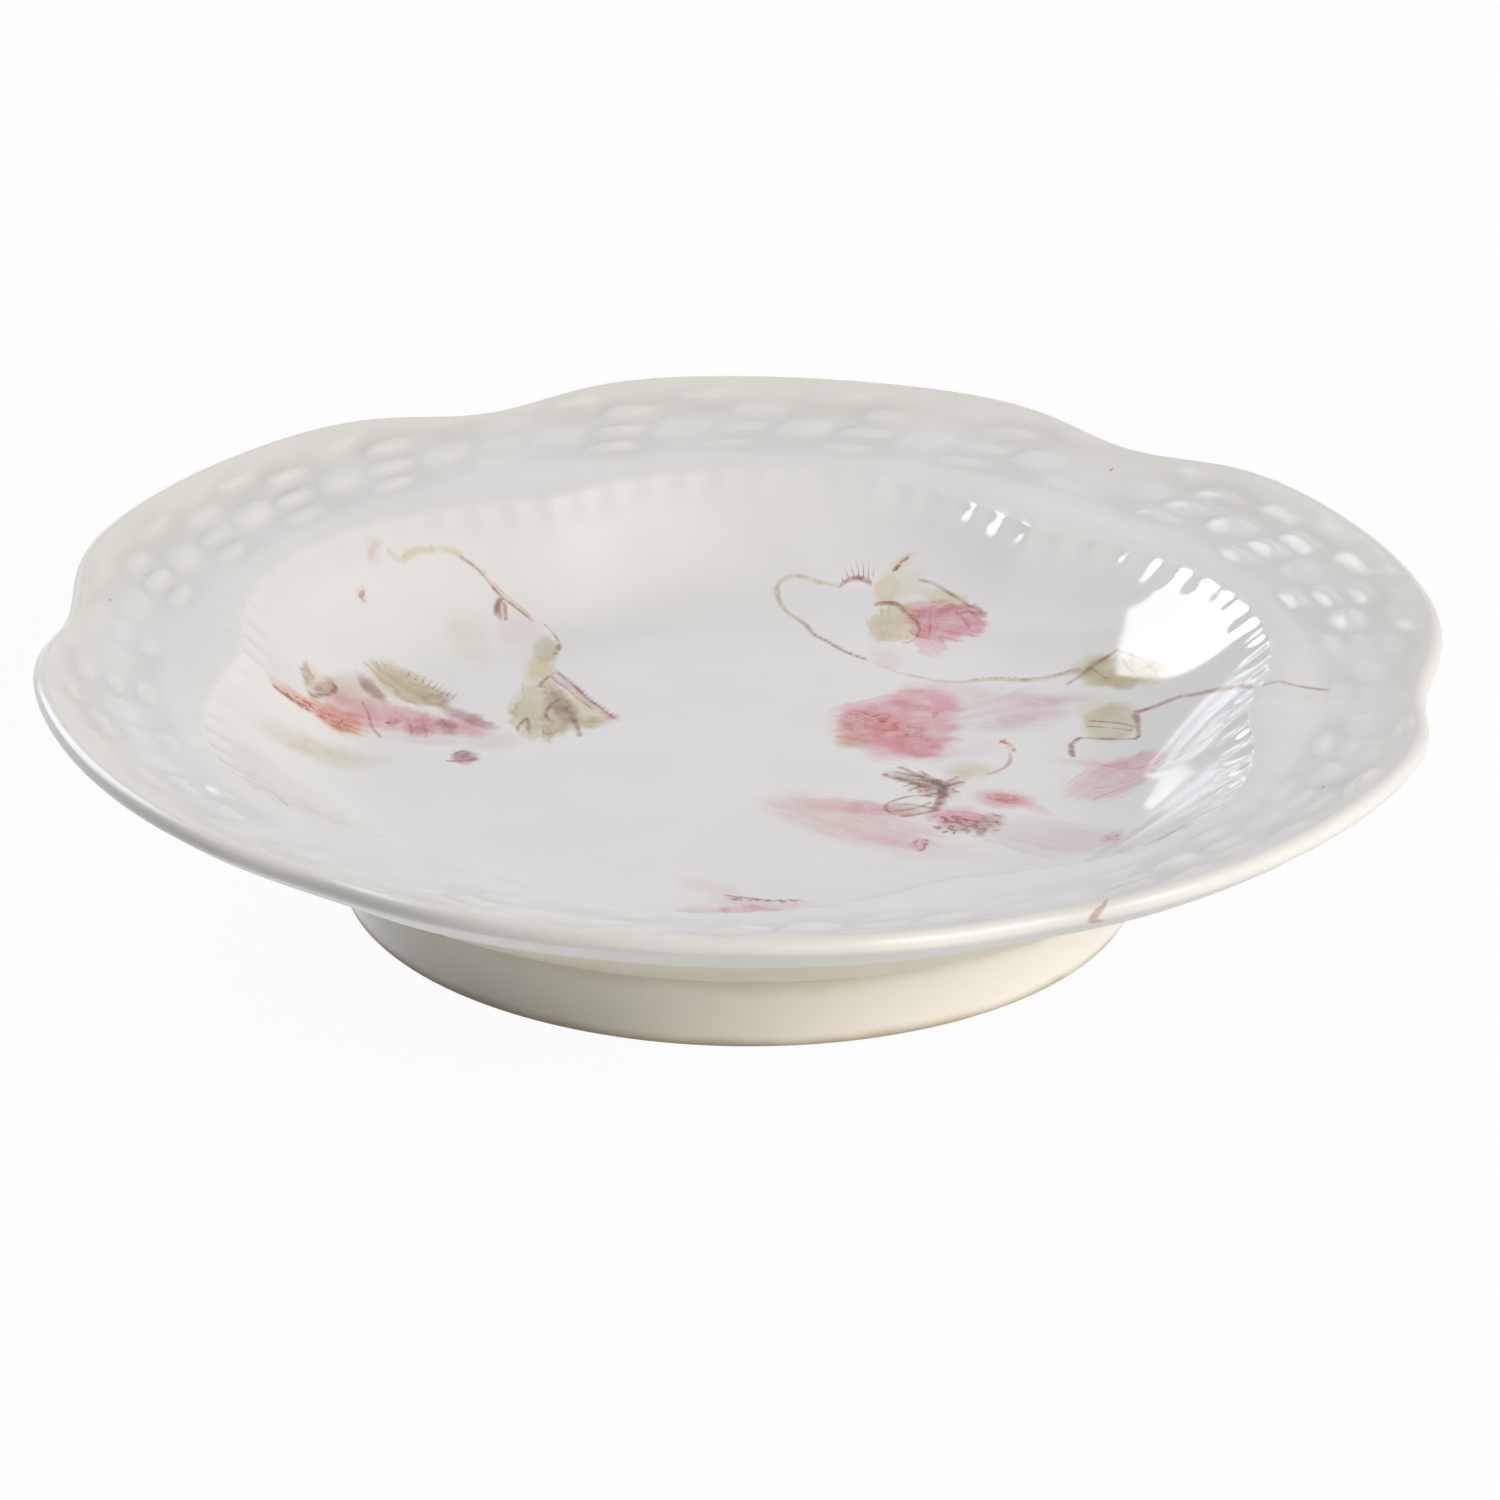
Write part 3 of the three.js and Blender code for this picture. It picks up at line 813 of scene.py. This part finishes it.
# The tall calyx beside it, and the stem over them both.
spray.wash(moss, 0.6, (-13.1, 14.6), (0.65, 1.7), 6, 0.35)
spray.wash(straw, 0.8, (-13, 11.9), (0.75, 1.8), -4, 0.4)
spray.petal(moss, 1, (-12.1, 5.8), (4, 1.7), -82, 0.22, 0.85)
spray.wash(moss, 0.5, (-10.4, 4.4), (1.8, 1.1), 14, 0.35)
spray.wash(straw, 0.6, (-9.1, 4.6), (1.1, 0.7), 20, 0.4)
spray.wash(brown, 0.6, (-11, 6.6), (2.2, 0.7), -70, 0.45)
spray.wash(crimson, 0.3, (-10.8, 5.4), (1.4, 0.5), -70, 0.5)
spray.wash(brown, 0.35, (-12, 9.4), (1.4, 0.5), -75, 0.5)
spray.line(brown, 0.7, (-13.7, 17.5), (-12.3, 15.3), 0.25, 0.14)
spray.line(brown, 0.95, (-12.35, 15.5), (-12.5, 13.8), 0.15, 0.26)
spray.wash(straw, 0.6, (-10.3, 6.6), (2.6, 1), -58, 0.4)
spray.line(brown, 0.3, (-12.1, 11.3), (-7.9, 5.2), 0, 0.5)
spray.line(rose, 0.25, (-12.1, 11.3), (-7.9, 5.2), 0, 0.5)
spray.line(brown, 0.8, (-12, 11.6), (-7.9, 5.3), 0, 0.16)
spray.line(brown, 0.6, (-12.3, 11), (-9.3, 6.4), 0, 0.14)
spray.hairs(brown, 0.8, (-10.6, 9.4), (-7.9, 5.4), 0, 11, 0.55)
spray.wash(rose, 0.4, (-8.1, 5.5), (0.6, 0.5), 0, 0.5)
spray.line(brown, 0.75, (-12.1, 11.4), (-12.8, 9.2), -0.15, 0.18)
spray.line(brown, 0.75, (-13, 3), (-12.9, 4.8), 0.1, 0.16)
spray.line(brown, 0.75, (-12.9, 4.7), (-12.4, 2.7), 0.1, 0.16)
spray.line(brown, 0.8, (-11.8, 3.4), (-10.9, 3.2), -0.55, 0.18)
spray.line(brown, 0.85, (-11.4, 8.2), (-11.4, 4.4), -0.3, 0.2)
spray.line(brown, 0.85, (-10.8, 6.8), (-9.6, 2.7), 0.15, 0.22)
spray.line(brown, 0.7, (-16.7, 19.2), (-14.3, 17.4), 0.05, 0.17)
spray.line(orange, 0.45, (-17.5, 19.95), (-14.5, 17.9), 0.1, 0.12)
spray.line(brown, 0.65, (-18.9, 20.15), (-16.5, 19.05), 0.2, 0.14)
spray.line(straw, 0.5, (-20.6, 19.8), (-18.7, 20.2), 0.12, 0.26)
spray.line(straw, 0.5, (-22, 18.35), (-20.4, 19.85), 0.05, 0.28)
spray.line(straw, 0.5, (-23, 18.15), (-21.9, 18.4), -0.12, 0.26)
spray.wash(orange, 0.12, (-23.6, 17.8), (0.5, 0.9), 0, 0.5)
spray.line(orange, 0.2, (-23.8, 17), (-23.2, 18.5), 0.2, 0.2)
spray.line(crimson, 0.75, (-16, 18.7), (-16.4, 17), -0.1, 0.17)
spray.line(brown, 0.7, (-15.9, 18.4), (-15.9, 16.9), 0, 0.14)
spray.line(brown, 0.5, (-16.2, 18.4), (-16.2, 16.8), 0, 0.12)
spray.wash(brown, 0.3, (-16.2, 17.8), (0.35, 0.8), 8, 0.5)
spray.wash(rose, 0.15, (-14.8, 16.3), (1.2, 1.5), 0, 0.5)
spray.wash(brown, 0.7, (-23.8, 14.4), (0.14, 0.36))
spray.wash(orange, 0.2, (-23.8, 14.5), (0.3, 0.7), 0, 0.5)
spray.wash(straw, 0.18, (-17.5, 14.4), (1.2, 2.3), 20, 0.5)
fire_well(spray)

# On the rim: the tail of the stem, an old stain at the lip and a few specks of kiln ash.
tree = bare_tree(rim_glaze)
rim_marks = Transfer(tree)
rim_marks.line(brown, 0.6, (29, 3.6), (30.5, 3.5), 0, 0.2)
rim_marks.line(brown, 0.6, (30.4, 3.5), (32.8, 2.3), -0.2, 0.26)
rim_marks.wash(brown, 0.55, (22.9, -31.5), (1, 0.14), 64, 0.5)
rim_marks.colour = lay(rim_marks.colour, lip_cream, from_middle(tree).step(38.4, 39.8))
for ash in ((18.2, 31.1), (-36.4, 3.1), (-27.6, 29.6), (33.4, -12.5)):
    rim_marks.wash(brown, 0.6, ash, (0.16, 0.12), 30, 0.5)
# Painted shade: the rim glaze is darkened grey in the hollows between the bars of the weave.
hollow = Wire.node(tree, "ShaderNodeAttribute", {"attribute_name": "hollow"}, output="Fac")
rim_marks.colour = lay(rim_marks.colour, hollow_shade_grey, hollow)
fire(tree, rim_marks.colour, glaze_gloss(tree, 0.25, 0.35), gloss=0.5)

# Under the dish the glaze is plain and less bright. Its darker cream is painted warm shade under the rim,
# fading to white towards the lip as painted light.
under_shade_cream = (0.74, 0.7, 0.58, 1)
tree = bare_tree(under_glaze)
colour = mixed(under_shade_cream, porcelain, from_middle(tree).step(34.5, 39.5))
fire(tree, colour, glaze_gloss(tree, 0.25, 0.4), gloss=0.12)

# Foot ring
# A turned ring luted under the dish with slip. It tapers to a narrow bearing face that is wiped clean of
# glaze, and the cove under its seat is painted darker and creamier as shade under the dish.
foot_glaze = bpy.data.materials.new("foot_glaze")
foot_sizes = {
    "Height": foot_high.z,
    "Base radius": 22.5 * mm,
    "Base width": 1.9 * mm,
    "Edge radius": 0.45 * mm,
    "Seat radius": foot_high.x,
    "Seat width": 4.4 * mm,
    "Cove height": 1.4 * mm,
    "Cove overhang": 0.8 * mm,
    "Seam bead": 0.2 * mm,
}


def foot_bands(size):
    edge = size["Edge radius"]
    outer_middle = size["Base radius"] - edge
    inner_middle = size["Base radius"] - size["Base width"] + edge
    cove_start = size["Seat radius"] - size["Cove overhang"], size["Height"] - size["Cove height"]
    inner_seat = size["Seat radius"] - size["Seat width"]

    def bearing(angle, along):
        return blend(inner_middle, outer_middle, along), angle * 0

    def outer_edge(angle, along):
        turn = along * (math.pi / 2)
        return outer_middle + edge * turn.sin(), edge - edge * turn.cos()

    def taper(angle, along):
        return blend(size["Base radius"], cove_start[0], along), blend(edge, cove_start[1], along)

    bead = size["Seam bead"]

    def cove(angle, along):
        turn = size["Seat radius"] - size["Cove overhang"] / 2, size["Height"] - bead
        return bow(cove_start, turn, (size["Seat radius"], size["Height"] - bead * 2), along)

    def seam(angle, along):
        turn = along * math.pi
        return size["Seat radius"] + bead * turn.sin(), size["Height"] - bead - bead * turn.cos()

    def seat(angle, along):
        return blend(size["Seat radius"], inner_seat, along), size["Height"] + angle * 0

    def inner_taper(angle, along):
        return blend(inner_seat, inner_middle - edge, along), blend(size["Height"], edge, along)

    def inner_edge(angle, along):
        turn = along * (math.pi / 2)
        return inner_middle - edge * turn.cos(), edge - edge * turn.sin()

    rows = 6
    places = [bearing, outer_edge, taper, cove, seam, seat, inner_taper, inner_edge]
    return [(rows, [foot_glaze], place) for place in places]


foot = turned_piece("porcelain_foot_ring", foot_sizes, 240, foot_bands)
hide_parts("foot_ring")
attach(foot, "root")

foot_cream = (0.86, 0.835, 0.75, 1)
cove_shade_cream = (0.66, 0.62, 0.47, 1)
bare_body = (0.5, 0.42, 0.3, 1)
tree = bare_tree(foot_glaze)
height = Wire.node(tree, "ShaderNodeSeparateXYZ", None, {0: place_on(tree)}, "Z")
drift = clouds(tree, 240, 3) - 0.5
# Painted shade: the foot turns darker and creamier towards its seat, under the dish.
cove_shade = (height + drift * (1.2 * mm)).step(3.4 * mm, 4.9 * mm) * 0.8
wiped = (height + drift * (0.5 * mm)).step(0.9 * mm, 0.05 * mm)
bare_roughness = 0.6
colour = mixed(mixed(foot_cream, cove_shade_cream, cove_shade), bare_body, wiped)
fire(tree, colour, blend(glaze_gloss(tree, 0.1, 0.2), bare_roughness, wiped), gloss=0.4)

# Table
# A plain white table that fades into a white surround.
table_half = 1.2
table_mesh = bpy.data.meshes.new("table")
corners = [
    (-table_half, -table_half, 0),
    (table_half, -table_half, 0),
    (table_half, table_half, 0),
    (-table_half, table_half, 0),
]
table_mesh.from_pydata(corners, [], [(0, 1, 2, 3)])
table = bpy.data.objects.new("table", table_mesh)
bpy.context.scene.collection.objects.link(table)
table_paper = bpy.data.materials.new("table_paper")
table_mesh.materials.append(table_paper)


def seen_ray(tree):
    """1 for rays that show the surround itself, and 0 for those that light the object with it."""
    seen = Wire.node(tree, "ShaderNodeLightPath", output="Is Camera Ray")
    mirrored = seen.sibling("Is Glossy Ray").over(seen.sibling("Is Transmission Ray"))
    return seen.over(mirrored)


# The rest of what is seen is the paper itself, which keeps the dish's shadow.
whitened = 0.96
tree = bare_tree(table_paper)
paper = Wire.node(tree, "ShaderNodeBsdfDiffuse", inputs={"Color": (0.8, 0.8, 0.8, 1)})
white = Wire.node(tree, "ShaderNodeEmission", inputs={"Color": (1, 1, 1, 1), "Strength": 1})
shown = Wire.node(tree, "ShaderNodeMixShader", inputs={0: seen_ray(tree) * whitened, 1: paper, 2: white})
tree.links.new(shown.socket, tree.nodes.new("ShaderNodeOutputMaterial").inputs["Surface"])

# Light
# A tall soft box to the right and in front, whose middle alone shows in the glaze, a window behind
# to the left, which shows as a bright patch in the far wall, a small low one, and a dim ceiling.
world = bpy.data.worlds.new("studio")
bpy.context.scene.world = world
world.use_nodes = True
tree = world.node_tree
tree.nodes.clear()
around = Wire.node(tree, "ShaderNodeBackground", inputs={"Color": (0.95, 0.97, 1, 1), "Strength": 0.03})
backdrop = Wire.node(tree, "ShaderNodeBackground", inputs={"Color": (1, 1, 1, 1), "Strength": 1})
shown = Wire.node(tree, "ShaderNodeMixShader", inputs={0: seen_ray(tree), 1: around, 2: backdrop})
tree.links.new(shown.socket, tree.nodes.new("ShaderNodeOutputWorld").inputs["Surface"])


def soft_box(name, azimuth, elevation, distance, size, watts, colour, lean=0, mirrored=True):
    """An area lamp of a width and height that faces the dish. Azimuth runs from +X towards +Y, and
    what is not mirrored lights the dish but doesn't show in its glaze."""
    data = bpy.data.lights.new(name, "AREA")
    data.shape = "RECTANGLE"
    data.size, data.size_y = size
    data.energy = watts
    data.color = colour
    lamp = bpy.data.objects.new(name, data)
    bpy.context.scene.collection.objects.link(lamp)
    turn = math.radians(azimuth)
    rise = math.radians(elevation)
    towards = Vector((math.cos(turn) * math.cos(rise), math.sin(turn) * math.cos(rise), math.sin(rise)))
    lamp.location = towards * distance
    lamp.visible_glossy = mirrored
    lamp.rotation_mode = "QUATERNION"
    facing = (-towards).to_track_quat("-Z", "Y")
    lamp.rotation_quaternion = facing @ Quaternion((0, 0, 1), math.radians(lean))


warm_white = (1, 0.958, 0.925)
soft_box("right_soft_box", -32, 28.5, 0.8, (0.5, 0.62), watts=5.6, colour=warm_white, mirrored=False)
soft_box("right_panel", -32, 29, 0.8, (0.34, 0.22), watts=1.8, colour=warm_white)
soft_box("window", 143, 29, 0.7, (0.37, 0.45), watts=3.2, colour=(0.92, 0.94, 1), lean=16)
soft_box("far_window", 113, 9, 0.7, (0.12, 0.1), watts=0.065, colour=(0.95, 0.97, 1))
soft_box("ceiling", 190, 58, 1, (1, 1), watts=1.7, colour=(0.99, 0.99, 1))

bpy.context.scene.view_settings.view_transform = "Standard"
